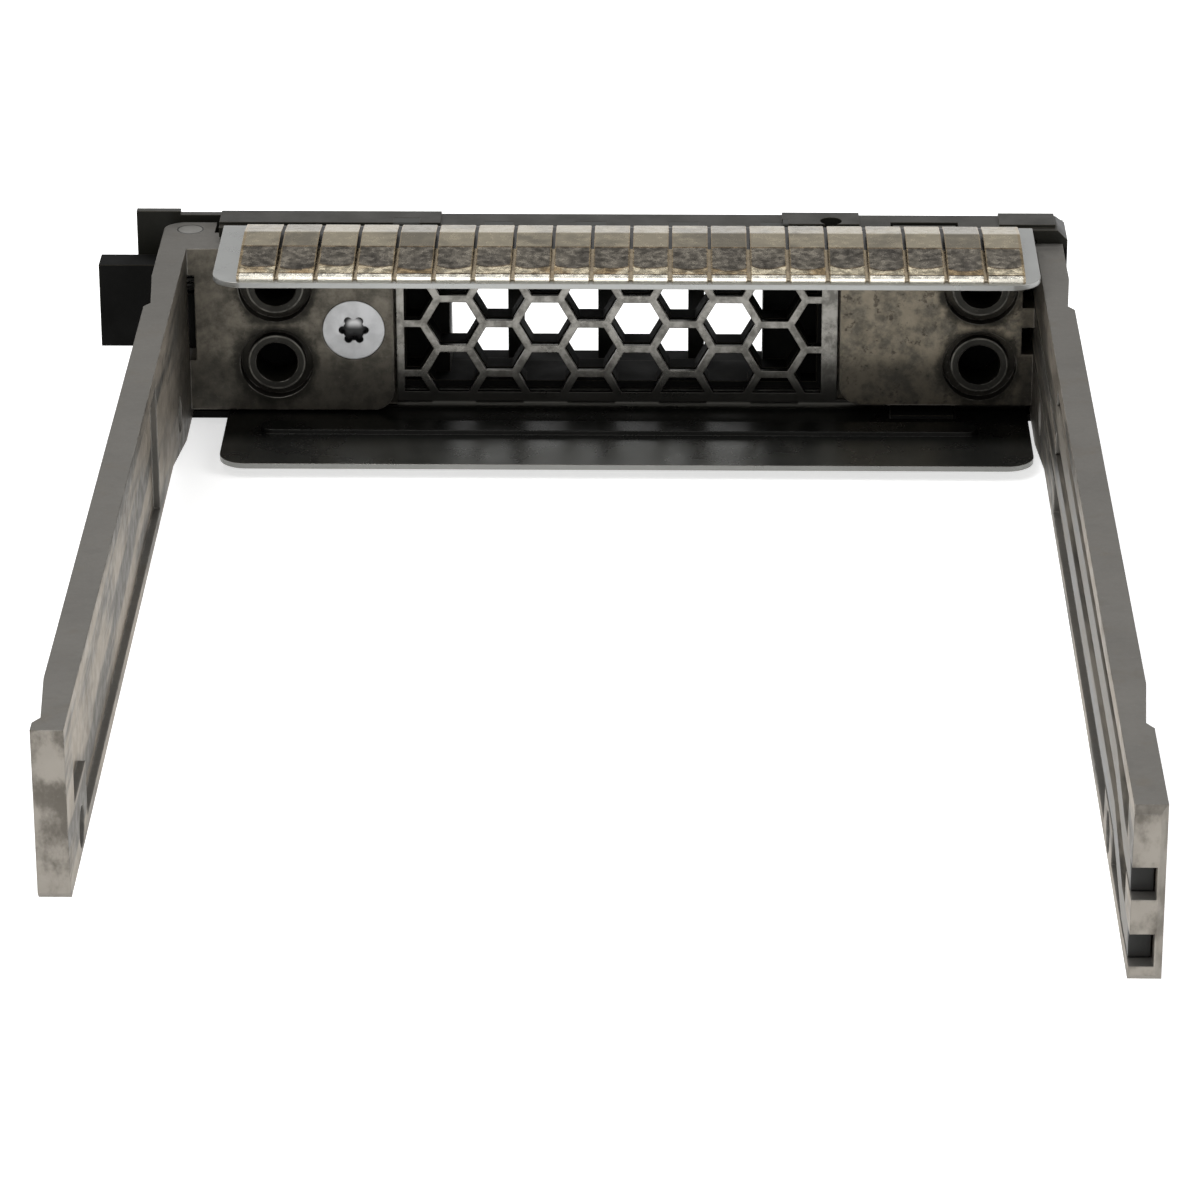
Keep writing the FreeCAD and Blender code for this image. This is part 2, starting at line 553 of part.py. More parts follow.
def make_tray_frame():
    body = new_body("tray_frame")
    full = rail_height
    rails = {-1: left_rail_length, 1: right_rail_length}
    # Front wall first, so that every later pad touches it
    extrude(body, "cross_wall", "Y", wall_start, pad_depth,
            rectangle(-shield_left, shield_right - 1.0, -wall_drop, full),
            rectangle(-left_pad_edge + 0.1, right_pad_edge - 0.1, window_low, window_high))
    extrude(body, "left_pad", "Y", 0, pad_depth,
            rectangle(-inner_face, -left_pad_edge, -left_pad_drop, full))
    extrude(body, "right_pad", "Y", 0, pad_depth,
            rectangle(right_pad_edge, inner_face, -right_pad_drop, full))
    dress(body, "pad_corners", "Fillet", pad_corner,
          edges_along(body, "Y", (-left_pad_edge, -left_pad_drop),
                      (right_pad_edge, -right_pad_drop)))
    extrude(body, "left_rail", "X", -outer_face, -inner_face,
            polygon((-left_rail_length, 0), (-lug_reach, 0), (-lug_flat, -lug_drop),
                    (pad_depth, -lug_drop), (pad_depth, full), (-left_rail_length, full)))
    extrude(body, "right_rail", "X", inner_face, outer_face,
            polygon((-right_rail_length, 0), (-lug_reach, 0), (-lug_flat, -lug_drop),
                    (wall_start, -lug_drop), (wall_start, full), (-right_rail_length, full)))
    extrude(body, "ears", "Z", 0, full,
            rectangle(-outer_face, hinge_right, pad_depth, ear_front))
    for side, reach in rails.items():
        name = "left" if side < 0 else "right"
        base = inner_face * side
        deep = base + recess_depth * side
        low, high = (deep, base) if side < 0 else (base, deep)
        rear = -reach + recess_tail
        extrude(body, f"{name}_recess", "X", low, high,
                rectangle(rear, -recess_start, lip_bottom, full - lip_top), cut=True)
        extrude(body, f"{name}_boss", "X", low, high,
                polygon((-first_screw - screw_pitch - boss_radius, 0),
                        (-first_screw - screw_pitch + boss_radius, 0),
                        (-first_screw - screw_pitch + boss_radius, hole_height + boss_radius),
                        (-first_screw - screw_pitch - boss_radius, hole_height + boss_radius)))
        wall = (-outer_face, -inner_face) if side < 0 else (inner_face, outer_face)
        extrude(body, f"{name}_screw_holes", "X", *wall,
                circle(-first_screw, hole_height, screw_hole_radius),
                circle(-first_screw - screw_pitch, hole_height, screw_hole_radius), cut=True)
        extrude(body, f"{name}_notches", "Z", -lug_drop, full,
                notch(side, front_notch), notch(side, rear_notch), cut=True)
    # Hinge pocket with its slot in the pad's face and the hook's window
    extrude(body, "hinge_pocket", "Z", lower_ear, pocket_top,
            polygon((-outer_face - 1, 0), (-pocket_edge, 0), (-pocket_edge, pocket_back),
                    (hinge_right + 0.1, pocket_back), (hinge_right + 0.1, ear_front + 1),
                    (-outer_face - 1, ear_front + 1)), cut=True)
    extrude(body, "hook_window", "Z", lower_ear, pocket_top,
            rectangle(-outer_face - 1, -inner_face - window_skin, -window_reach, 0), cut=True)
    extrude(body, "pin_hole", "Z", 0, full, circle(-pivot_x, pivot_y, pin_radius), cut=True)
    dress(body, "ear_corners", "Fillet", ear_round, edges_along(body, "Z", (-outer_face, ear_front)))
    # Channels of the light pipes, open to the inner face
    extrude(body, "pipe_channels", "X", inner_face, inner_face + pipe_inset + pipe_depth + pipe_gap,
            *[pipe_outline(low, dip, pipe_gap, -right_rail_length - 1, wall_start + 1)
              for name, low, dip in PIPES], cut=True)
    extrude(body, "pipe_mouths", "X", inner_face, inner_face + pipe_inset + pipe_head + pipe_gap,
            *[rectangle(-right_rail_length - 1, -dip_end + pipe_gap,
                        low - dip - pipe_gap, low - dip + pipe_height + pipe_gap)
              for name, low, dip in PIPES], cut=True)
    extrude(body, "pipe_slots", "X", inner_face - pipe_slot, inner_face,
            *[rectangle(0, pad_depth, low - pipe_gap, low + pipe_height + pipe_gap)
              for name, low, dip in PIPES], cut=True)
    # Countersinks of the drive screws and of the bezel screw
    for side in (-1, 1):
        for place in (first_screw, first_screw + screw_pitch):
            sink = screw_sink_radius - screw_hole_radius
            turn(body, f"sink_{side + 1}_{round(place.value)}", (outer_face * side, -place, hole_height),
                 polygon((0, 0), (0, screw_sink_radius), (-sink * side, screw_hole_radius),
                         (-sink * side, 0)), "X", cut=True)
    turn(body, "bezel_screw_hole", (-bezel_screw_x, 0, bezel_screw_z),
         polygon((0, 0), (head_radius + screw_gap, 0), (shank_radius + screw_gap, head_depth + screw_gap),
                 (shank_radius + screw_gap, pad_depth), (0, pad_depth)), "Y", cut=True)
    # Lug that snaps into the bezel's upper wall
    extrude(body, "snap_lug", "Z", full, bezel_top - snap_gap,
            rectangle(snap_place - snap_width / 2, snap_place + snap_width / 2,
                      pad_depth - snap_depth, pad_depth))
    dress(body, "tip_corners", "Chamfer", tip_chamfer,
          edges_along(body, "X", (-left_rail_length, 0), (-right_rail_length, 0),
                      (-right_rail_length, full))
          + edges_along(body, "Z", (outer_face, -right_rail_length)))
    # Tube bosses in the pads
    tubes = [(place, height) for place in (-left_bore_place, right_bore_place)
             for height in (bore_height, bore_height + bore_rise)]
    extrude(body, "tube_moats", "Y", 0, moat_depth,
            *[circle(*tube, tube_radius + tube_moat) for tube in tubes],
            *[circle(*tube, tube_radius) for tube in tubes], cut=True)
    extrude(body, "tube_rims", "Y", 0, tube_sink,
            *[circle(*tube, tube_radius + tube_moat / 2) for tube in tubes], cut=True)
    extrude(body, "tube_bores", "Y", 0, pad_depth,
            *[circle(*tube, bore_radius) for tube in tubes], cut=True)
    return body


# ---------------------------------------------------------------- shield

def make_emi_shield():
    body = new_body("emi_shield")
    rim = sheet_metal
    left_cut = -left_pad_edge + shield_fit
    right_cut = right_pad_edge - shield_fit
    extrude(body, "web", "Y", web_start, web_front,
            rectangle(-shield_left, shield_right, lower_flange - rim, upper_face))
    extrude(body, "upper_flange", "Z", upper_flange, upper_face,
            rectangle(-shield_left, shield_right, -upper_reach, web_front))
    extrude(body, "lower_flange", "Z", lower_flange - rim, lower_flange,
            rectangle(-shield_left, shield_right, -flange_reach, web_front))
    dress(body, "outer_bends", "Fillet", bend_radius,
          edges_along(body, "X", (web_front, upper_face), (web_front, lower_flange - rim)))
    dress(body, "inner_bends", "Fillet", bend_radius - rim,
          edges_along(body, "X", (web_start, upper_flange), (web_start, lower_flange)))
    dress(body, "flange_corners", "Fillet", flange_corner,
          edges_along(body, "Z", (-shield_left, -flange_reach), (shield_right, -flange_reach),
                      (-shield_left, -upper_reach), (shield_right, -upper_reach)))
    # Cut-outs that let the casting's pads stand through the web
    extrude(body, "left_cut_out", "Y", web_start - rim / 2, web_front + rim,
            rectangle(-shield_left - 1, left_cut, -left_pad_drop - shield_fit, rail_height + shield_fit),
            cut=True)
    extrude(body, "right_cut_out", "Y", web_start - rim / 2, web_front + rim,
            rectangle(right_cut, shield_right + 1, -right_pad_drop - shield_fit,
                      rail_height + shield_fit), cut=True)
    honeycomb(body, "cells", web_start, web_front, cell_pitch - cell_strut)
    # Solid border round the honeycomb, with a straight lower edge
    extrude(body, "border", "Y", web_start, web_front,
            rectangle(left_cut, right_cut, lower_flange + bend_radius / 2, upper_flange - bend_radius / 2),
            rectangle(-field_left, field_right, -field_drop, field_top))
    # Opening for the bezel's snap hook, through the bend
    extrude(body, "hook_slot", "Z", lower_flange - rim, -right_pad_drop - shield_fit,
            rectangle(snap_place - snap_width / 2 - snap_gap, snap_place + snap_width / 2 + snap_gap,
                      -1, web_front), cut=True)
    # Stiffening bead of the lower flange
    middle = -bead_place
    extrude(body, "bead", "Z", lower_flange, lower_flange + bead_height,
            rectangle(-bead_left, bead_right, middle - bead_width / 2, middle + bead_width / 2))
    dress(body, "bead_ends", "Fillet", bead_width * 0.49,
          edges_along(body, "Z", (-bead_left, middle - bead_width / 2), (-bead_left, middle + bead_width / 2),
                      (bead_right, middle - bead_width / 2), (bead_right, middle + bead_width / 2)))
    extrude(body, "bead_hollow", "Z", lower_flange - rim, lower_flange - rim + bead_height * 0.8,
            rectangle(-bead_left + bead_width / 2, bead_right - bead_width / 2,
                      middle - bead_width / 4, middle + bead_width / 4), cut=True)
    return body


def make_finger_strip():
    body = new_body("finger_strip")
    rise, rim = finger_rise, finger_sheet
    base = upper_face
    near, tip = lip_inset - upper_reach, finger_tip
    shoulder, brow = -crease, (finger_tip - crease) / 2
    lip = base + lip_rise
    top = base + rise
    extrude(body, "profile", "X", -finger_start, -finger_start + finger_pitch * finger_count,
            polygon((-spine_end, base), (near, base), (near, lip), (shoulder, top), (brow, top + rim / 2),
                    (tip, base + finger_tip_rise), (tip, base + finger_tip_rise - rim),
                    (brow, top - rim / 2), (shoulder, top - rim), (near + rim, lip - rim),
                    (near + rim, base + rim), (-spine_end, base + rim)))
    dress(body, "arch", "Fillet", finger_bend,
          edges_along(body, "X", (shoulder, top), (brow, top + rim / 2),
                      (brow, top - rim / 2), (shoulder, top - rim)))
    first = -finger_start + finger_pitch
    above = base + rim * 1.2
    slit = extrude(body, "slit", "X", first - finger_slit / 2, first + finger_slit / 2,
                   polygon((near - 1, base - rim), (near + rim * 2, base - rim), (near + rim * 2, above),
                           (tip + 1, above), (tip + 1, top + 1), (near - 1, top + 1)), cut=True)
    repeat(body, slit, "X", finger_pitch * (finger_count - 2), finger_count - 1)
    deep = tip - finger_slit * 3
    notch_cut = extrude(body, "tip_notch", "Z", above, top + 1,
                        polygon((first, deep), (first + finger_slit * 1.5, tip + 1),
                                (first - finger_slit * 1.5, tip + 1)), cut=True)
    repeat(body, notch_cut, "X", finger_pitch * (finger_count - 2), finger_count - 1)
    return body


# ---------------------------------------------------------------- bezel

def make_front_bezel():
    body = new_body("front_bezel")
    full = bezel_top
    grille_low = window_low + grille_margin
    grille_high = window_high - grille_margin
    grille_start = web_front + shield_fit
    side = left_pad_edge - 0.1 - grille_margin
    extrude(body, "plate", "Y", plate_back, plate_front,
            rectangle(-bezel_left, bezel_right, -bezel_base, full),
            rectangle(-grille_left, grille_right, grille_low + cell_strut, grille_top))
    extrude(body, "roof", "Z", roof_base, full,
            rectangle(-bezel_left, bezel_right, bezel_start, plate_front))
    extrude(body, "floor", "Z", -bezel_base, -bezel_base + bezel_skin,
            rectangle(-floor_left, bezel_right, bezel_start, plate_front))
    extrude(body, "end_wall", "Y", bezel_start, plate_front,
            rectangle(inner_face + wall_gap, bezel_right, -bezel_base, full))
    extrude(body, "end_block", "Y", plate_front, front_face,
            rectangle(end_block, bezel_right, -bezel_base, handle_top - end_drop))
    dress(body, "upper_edges", "Chamfer", bezel_chamfer,
          edges_along(body, "X", (plate_front, full)) + edges_along(body, "Y", (bezel_right, full)))
    dress(body, "end_edges", "Chamfer", end_chamfer,
          edges_along(body, "X", (front_face, handle_top - end_drop), (front_face, -bezel_base))
          + edges_along(body, "Z", (bezel_right, front_face)))
    lands = ((-bezel_left, -cell_column - 1), (cell_column + 1, handle_right),
             (end_block + land_start, bezel_right - end_chamfer))
    extrude(body, "lands", "Z", full, full + land_height,
            *[rectangle(left, right, bezel_start + land_inset, plate_front - end_chamfer)
              for left, right in lands])
    # Screw socket, snap slot, snap hook and the round hole in the upper wall
    extrude(body, "screw_socket", "Y", plate_back, screw_length + screw_gap * 2,
            circle(-bezel_screw_x, bezel_screw_z, shank_radius + screw_gap), cut=True)
    extrude(body, "snap_slot", "Z", roof_base, full + land_height,
            rectangle(snap_place - snap_width / 2 - snap_gap, snap_place + snap_width / 2 + snap_gap,
                      pad_depth - snap_depth - snap_gap, pad_depth + snap_gap), cut=True)
    extrude(body, "snap_hook", "Z", -bezel_base, -wall_drop - snap_gap / 2,
            rectangle(snap_place - snap_width / 2, snap_place + snap_width / 2, 0, bezel_start + 1))
    extrude(body, "dot", "Z", roof_base, full + land_height,
            circle(dot_place, pad_depth - 0.3, dot_radius), cut=True)
    # Slot, foot pocket and spring pocket of the release button
    foot_front = plate_back + button_gap + foot_depth
    extrude(body, "stem_slot", "Y", plate_back, plate_front,
            rectangle(stem_left - button_gap, stem_right + button_travel + button_gap,
                      stem_low - button_gap, stem_high + button_gap), cut=True)
    extrude(body, "foot_pocket", "Y", plate_back, foot_front + button_gap,
            rectangle(stem_left - button_gap, stem_right + button_travel + button_gap,
                      stem_low - foot_step - button_gap, stem_high + foot_step + button_gap), cut=True)
    spring_reach = coil_spring_radius + coil_spring_wire / 2 + button_gap
    extrude(body, "spring_pocket", "Y", plate_back, spring_y + spring_reach,
            rectangle(stem_right, spring_end + spring_seat, spring_z - spring_reach,
                      spring_z + spring_reach), cut=True)
    extrude(body, "pipe_holes", "X", inner_face, inner_face + pipe_inset + pipe_depth + pipe_gap,
            *[rectangle(bezel_start - 1, front_face + 1, low - pipe_gap, low + pipe_height + pipe_gap)
              for name, low, dip in PIPES], cut=True)
    # Grille tubes behind the honeycomb
    extrude(body, "grille", "Y", grille_start, plate_back, rectangle(-side, side, grille_low, grille_high))
    honeycomb(body, "tubes", grille_start, plate_back, cell_pitch - cell_strut * 1.3)
    extrude(body, "grille_frame", "Y", grille_start, plate_back,
            rectangle(-side, side, grille_low, grille_high),
            rectangle(-side + cell_strut, side - cell_strut, grille_low + cell_strut,
                      grille_high - cell_strut))
    return body


# ---------------------------------------------------------------- handle

def make_handle_lever():
    body = new_body("handle_lever")
    extrude(body, "plate", "Y", handle_back, front_face,
            rectangle(-handle_left, handle_right, -handle_base, handle_top))
    dress(body, "front_edges", "Fillet", handle_round,
          edges_along(body, "X", (front_face, handle_top), (front_face, -handle_base))
          + edges_along(body, "Z", (-handle_left, front_face), (handle_right, front_face)))
    extrude(body, "raised_end", "Y", handle_back, handle_back + handle_rise,
            rectangle(-handle_left, -rise_end, handle_top - 1, handle_top + handle_rise))
    extrude(body, "low_raised_end", "Y", handle_back, handle_back + handle_rise,
            rectangle(-rise_end, -bezel_left, handle_top - 1, handle_top + low_rise))
    extrude(body, "hub", "Z", hub_base, hook_top, circle(-pivot_x, pivot_y, hub_radius))
    extrude(body, "neck", "Z", hub_base, hook_top,
            rectangle(-pivot_x - neck_half, -pivot_x + neck_half, pivot_y, handle_back))
    extrude(body, "hook", "Z", hub_base, hook_top,
            rectangle(-hook_tip, -pivot_x, hook_back, hook_back + hook_depth))
    extrude(body, "spring_room", "Z", hub_top, hook_top,
            circle(-pivot_x, pivot_y, coil_radius + coil_wire / 2 + spring_room), cut=True)
    extrude(body, "leg_room", "Z", hub_top, hook_top,
            rectangle(-pivot_x, -pivot_x + neck_half + 1, pivot_y - hub_radius - 1, handle_back), cut=True)
    extrude(body, "pin_bore", "Z", hub_base, hub_top,
            circle(-pivot_x, pivot_y, pin_radius + pin_clearance), cut=True)
    # Windows of the front grille, between three upright bars
    edges = [-grille_left]
    for bar in range(3):
        middle = -first_bar + bar_pitch * bar
        edges += [middle - handle_bar / 2, middle + handle_bar / 2]
    edges.append(grille_right)
    extrude(body, "windows", "Y", handle_back, front_face,
            *[rectangle(left, right, window_sill, window_top)
              for left, right in zip(edges[::2], edges[1::2])], cut=True)
    return body


def make_pivot_pin():
    body = new_body("pivot_pin")
    extrude(body, "pin", "Z", 0, rail_height, circle(-pivot_x, pivot_y, pin_radius))
    return body


# ---------------------------------------------------------------- release button and screw

def make_release_button():
    body = new_body("release_button")
    foot_front = plate_back + button_gap + foot_depth
    extrude(body, "cap", "Y", handle_back, front_face + button_proud,
            rectangle(button_left, button_left + button_width, button_low, button_high))
    dress(body, "cap_edges", "Fillet", handle_round / 2,
          edges_along(body, "X", (front_face + button_proud, button_high),
                      (front_face + button_proud, button_low))
          + edges_along(body, "Z", (button_left, front_face + button_proud),
                        (button_left + button_width, front_face + button_proud)))
    for rib in range(3):
        across = button_left + button_width * (0.3 + 0.2 * rib)
        extrude(body, f"groove_{rib}", "Y", front_face, front_face + button_proud,
                rectangle(across - button_proud, across + button_proud,
                          button_low + handle_round, button_high - handle_round), cut=True)
    extrude(body, "stem", "Y", foot_front, handle_back,
            rectangle(stem_left, stem_right, stem_low, stem_high))
    extrude(body, "foot", "Y", plate_back + button_gap, foot_front,
            rectangle(stem_left, stem_right, stem_low - foot_step, stem_high + foot_step))
    return body


def make_bezel_screw():
    body = new_body("bezel_screw")
    turn(body, "shape", (0, 0, 0),
         polygon((0, screw_gap), (head_radius, screw_gap), (shank_radius, head_depth),
                 (shank_radius, screw_length - 0.5), (shank_radius - 0.4, screw_length), (0, screw_length)),
         "Y")
    lobe = lobe_reach * 0.27
    extrude(body, "drive", "Y", 0, lobe_depth, circle(ZERO, ZERO, lobe_reach * 0.72), cut=True)
    cut = extrude(body, "lobe", "Y", 0, lobe_depth, circle(lobe_reach - lobe, ZERO, lobe), cut=True)
    pattern = body.newObject("PartDesign::PolarPattern", "lobes")
    pattern.Originals = [cut]
    line = [part for part in body.Origin.OriginFeatures if part.Role == "Y_Axis"][0]
    pattern.Axis = (line, [""])
    pattern.Angle = 360
    pattern.Occurrences = 6
    body.Tip = pattern
    body.Placement = Placement(Vector(-bezel_screw_x.value, 0, bezel_screw_z.value), Rotation())
    body.setExpression("Placement.Base.x", (-bezel_screw_x).text)
    body.setExpression("Placement.Base.z", bezel_screw_z.text)
    doc.recompute()
    return body


# ---------------------------------------------------------------- springs

def half_turns(radius, pitch, count, side):
    """Tilted half turns about +Z that meet smoothly, from z = 0 on the -Y side.

    The first one passes on the given side, +1 for +X and -1 for -X.
    """
    half_chord = math.hypot(radius, pitch / 4)
    arcs = []
    for number in range(count):
        way = -1 if number % 2 == 0 else 1
        low, high = pitch * number / 2, pitch * (number + 1) / 2
        arcs.append(Part.Arc(Vector(0, way * radius, low),
                             Vector(-way * side * half_chord, 0, (low + high) / 2),
                             Vector(0, -way * radius, high)).toShape())
    return arcs


def wire_along(edges, wire):
    """Spring wire along the edges, whose first one leaves its start along X."""
    start = edges[0].valueAt(edges[0].FirstParameter)
    corners = [start + Vector(0, math.cos(angle), math.sin(angle)) * (wire / 2)
               for angle in (math.pi / 3 * side for side in range(7))]
    return Part.Wire(edges).makePipeShell([Part.makePolygon(corners)], True, False)


def make_button_spring():
    spring = doc.addObject("Part::Feature", "button_spring")
    wire = coil_spring_wire.value
    pitch = (spring_length.value - wire) / coil_spring_turns
    spring.Shape = wire_along(half_turns(coil_spring_radius.value, pitch, coil_spring_turns * 2, 1), wire)
    place = Vector(stem_right.value + spring_seat.value + wire / 2, spring_y.value, spring_z.value)
    spring.Placement = Placement(place, Rotation(Vector(0, 1, 0), 90))
    return spring


def make_handle_spring():
    """A left-handed torsion coil round the pin, its legs on the casting and behind the handle."""
    spring = doc.addObject("Part::Feature", "handle_spring")
    radius, wire, pitch = coil_radius.value, coil_wire.value, coil_pitch.value
    count = 7
    reach = ear_inner.value - spring_room.value
    rise = pitch * count / 2
    low_leg = Part.makeLine(Vector(reach, -radius, 0), Vector(0, -radius, 0))
    high_leg = Part.makeLine(Vector(0, radius, rise), Vector(reach, radius, rise))
    spring.Shape = wire_along([low_leg, *half_turns(radius, pitch, count, -1), high_leg], wire)
    place = Vector(-pivot_x.value, pivot_y.value, hub_top.value + ear_gap.value + wire / 2)
    spring.Placement = Placement(place, Rotation())
    return spring


# ---------------------------------------------------------------- build and export

subparts = [make_tray_frame(), make_emi_shield(), make_finger_strip(), make_front_bezel(),
            make_handle_lever(), make_pivot_pin(), make_release_button(), make_bezel_screw(),
            make_button_spring(), make_handle_spring()]
subparts += [make_light_pipe(*pipe) for pipe in PIPES]

doc.recompute()
for item in doc.Objects:
    if "Invalid" in item.State or "Error" in item.State:
        raise RuntimeError(f"{item.Name} failed: {item.State}")
for item in subparts:
    if item.Shape.isNull() or not item.Shape.isValid():
        raise RuntimeError(f"{item.Label} has no valid shape")
for item in subparts:
    item.Shape.exportStep(f"parts/{item.Label}.step")
    print(item.Label, len(item.Shape.Solids), round(item.Shape.Volume, 2))
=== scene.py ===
import math

import bmesh
import bpy
from mathutils import Matrix, Vector


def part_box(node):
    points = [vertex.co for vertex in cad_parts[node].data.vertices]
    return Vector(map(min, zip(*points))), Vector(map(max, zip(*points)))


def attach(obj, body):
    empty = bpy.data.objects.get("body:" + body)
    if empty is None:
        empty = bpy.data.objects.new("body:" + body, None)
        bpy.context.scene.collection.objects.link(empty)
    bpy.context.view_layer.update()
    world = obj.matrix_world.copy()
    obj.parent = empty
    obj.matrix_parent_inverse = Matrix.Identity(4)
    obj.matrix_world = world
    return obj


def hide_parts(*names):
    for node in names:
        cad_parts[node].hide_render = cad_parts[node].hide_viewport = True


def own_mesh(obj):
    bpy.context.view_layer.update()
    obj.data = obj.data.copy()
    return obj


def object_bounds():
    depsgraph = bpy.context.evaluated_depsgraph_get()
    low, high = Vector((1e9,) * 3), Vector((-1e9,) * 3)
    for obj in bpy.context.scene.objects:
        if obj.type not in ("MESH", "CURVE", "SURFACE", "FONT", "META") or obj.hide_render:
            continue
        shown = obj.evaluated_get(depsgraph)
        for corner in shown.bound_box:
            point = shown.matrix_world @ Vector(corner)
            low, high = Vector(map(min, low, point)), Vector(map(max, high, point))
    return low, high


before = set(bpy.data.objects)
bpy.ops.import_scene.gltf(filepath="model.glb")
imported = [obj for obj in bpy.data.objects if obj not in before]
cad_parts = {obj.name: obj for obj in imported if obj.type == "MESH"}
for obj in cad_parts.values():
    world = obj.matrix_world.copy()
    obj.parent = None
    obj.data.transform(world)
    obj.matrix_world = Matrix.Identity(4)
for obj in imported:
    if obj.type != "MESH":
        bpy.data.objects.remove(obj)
cad_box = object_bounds()

# Lengths are in millimetres unless a comment says otherwise. X runs across the tray, Y towards its
# front with 0 on the drive's stop plane, and Z up with 0 under the rails.
MM = 0.001


# ---------------------------------------------------------------- short calls

def linked(thing):
    """Puts an object into the scene and returns it."""
    bpy.context.scene.collection.objects.link(thing)
    return thing


def mesh_from(name, build):
    """Ends a bmesh and returns it as a mesh whose faces look outwards."""
    bmesh.ops.recalc_face_normals(build, faces=build.faces)
    mesh = bpy.data.meshes.new(name)
    build.to_mesh(mesh)
    build.free()
    return mesh


class Tree:
    """A node tree with short calls for its nodes and links."""

    def __init__(self, tree):
        self.tree = tree

    def node(self, kind, inputs=None, **settings):
        node = self.tree.nodes.new(kind)
        for key, value in settings.items():
            setattr(node, key, value)
        for key, value in (inputs or {}).items():
            self.feed(node.inputs[key], value)
        return node

    def feed(self, socket, value):
        if isinstance(value, bpy.types.NodeSocket):
            self.tree.links.new(value, socket)
        elif isinstance(value, tuple) and len(value) == 3 and socket.type == "RGBA":
            socket.default_value = (*value, 1)
        else:
            socket.default_value = value

    def maths(self, operation, first, second=0.0):
        return self.node("ShaderNodeMath", {0: first, 1: second}, operation=operation).outputs[0]

    def times(self, first, second):
        return self.maths("MULTIPLY", first, second)

    def plus(self, first, second):
        return self.maths("ADD", first, second)

    def minus(self, first, second):
        return self.maths("SUBTRACT", first, second)

    def larger(self, first, second):
        return self.maths("MAXIMUM", first, second)


# ---------------------------------------------------------------- camera, light, floor

CAMERA_PLACE = (5.630, -412.812, 161.764)
CAMERA_YAW, CAMERA_DIP, CAMERA_ROLL = -0.015940, 0.412448, -0.001811
SENSOR, LENS = 36.0, 159.0
CLIP_START, CLIP_END = 0.01, 20.0  # metres

# Name, place and size in metres, power in watts
LAMPS = (
    ("key", (-0.35, -0.45, 0.75), (0.5, 0.5), 4.2),
    ("fill", (0.55, -0.35, 0.55), (0.5, 0.5), 2.2),
    ("back", (0.0, 0.6, 0.7), (0.8, 0.3), 3.0),
)
LAMP_TARGET = (0, -0.03, 0)  # metres

# The room that metal mirrors, full at the first height and dim at the second, and that lights the rest
MIRROR_HEIGHTS, MIRROR_LEVELS = (0.26, 0.54), (1.0, 0.14)
ROOM_LEVEL = 0.34
FLOOR_HALF, FLOOR_TONE, FLOOR_ROUGHNESS, FLOOR_GLOW = 3.0, 0.90, 0.9, 0.62


def make_camera():
    """The photograph's view: a long lens from behind the tray, looking down on it."""
    forward = Vector((math.sin(CAMERA_YAW) * math.cos(CAMERA_DIP),
                      math.cos(CAMERA_YAW) * math.cos(CAMERA_DIP),
                      -math.sin(CAMERA_DIP)))
    data = bpy.data.cameras.new("camera")
    data.sensor_width, data.lens = SENSOR, LENS
    data.clip_start, data.clip_end = CLIP_START, CLIP_END
    camera = linked(bpy.data.objects.new("camera", data))
    turn = forward.to_track_quat("-Z", "Y").to_matrix() @ Matrix.Rotation(CAMERA_ROLL, 3, "Z")
    camera.matrix_world = Matrix.Translation(Vector(CAMERA_PLACE) * MM) @ turn.to_4x4()
    bpy.context.scene.camera = camera


def area_light(name, place, size, power):
    data = bpy.data.lights.new(name, "AREA")
    data.shape = "RECTANGLE"
    data.size, data.size_y = size
    data.energy = power
    light = linked(bpy.data.objects.new(name, data))
    light.location = place
    light.rotation_euler = (Vector(LAMP_TARGET) - Vector(place)).to_track_quat("-Z", "Y").to_euler()


def make_world():
    """White wherever the camera looks; a softer grey room lights the object."""
    world = bpy.data.worlds.new("studio")
    bpy.context.scene.world = world
    world.use_nodes = True
    world.node_tree.nodes.clear()
    room = Tree(world.node_tree)
    path = room.node("ShaderNodeLightPath").outputs
    coords = room.node("ShaderNodeTexCoord").outputs
    height = room.node("ShaderNodeSeparateXYZ", {0: coords["Generated"]}).outputs["Z"]
    level = room.node("ShaderNodeMapRange", {
        "Value": height, "From Min": MIRROR_HEIGHTS[0], "From Max": MIRROR_HEIGHTS[1],
        "To Min": MIRROR_LEVELS[0], "To Max": MIRROR_LEVELS[1]}).outputs[0]
    mirrors = room.larger(path["Is Glossy Ray"], path["Is Transmission Ray"])
    seen = room.larger(path["Is Camera Ray"], room.times(mirrors, level))
    other = room.minus(1.0, room.larger(path["Is Camera Ray"], mirrors))
    strength = room.plus(seen, room.times(other, ROOM_LEVEL))
    background = room.node("ShaderNodeBackground", {"Color": (1, 1, 1), "Strength": strength})
    room.node("ShaderNodeOutputWorld", {"Surface": background.outputs[0]})


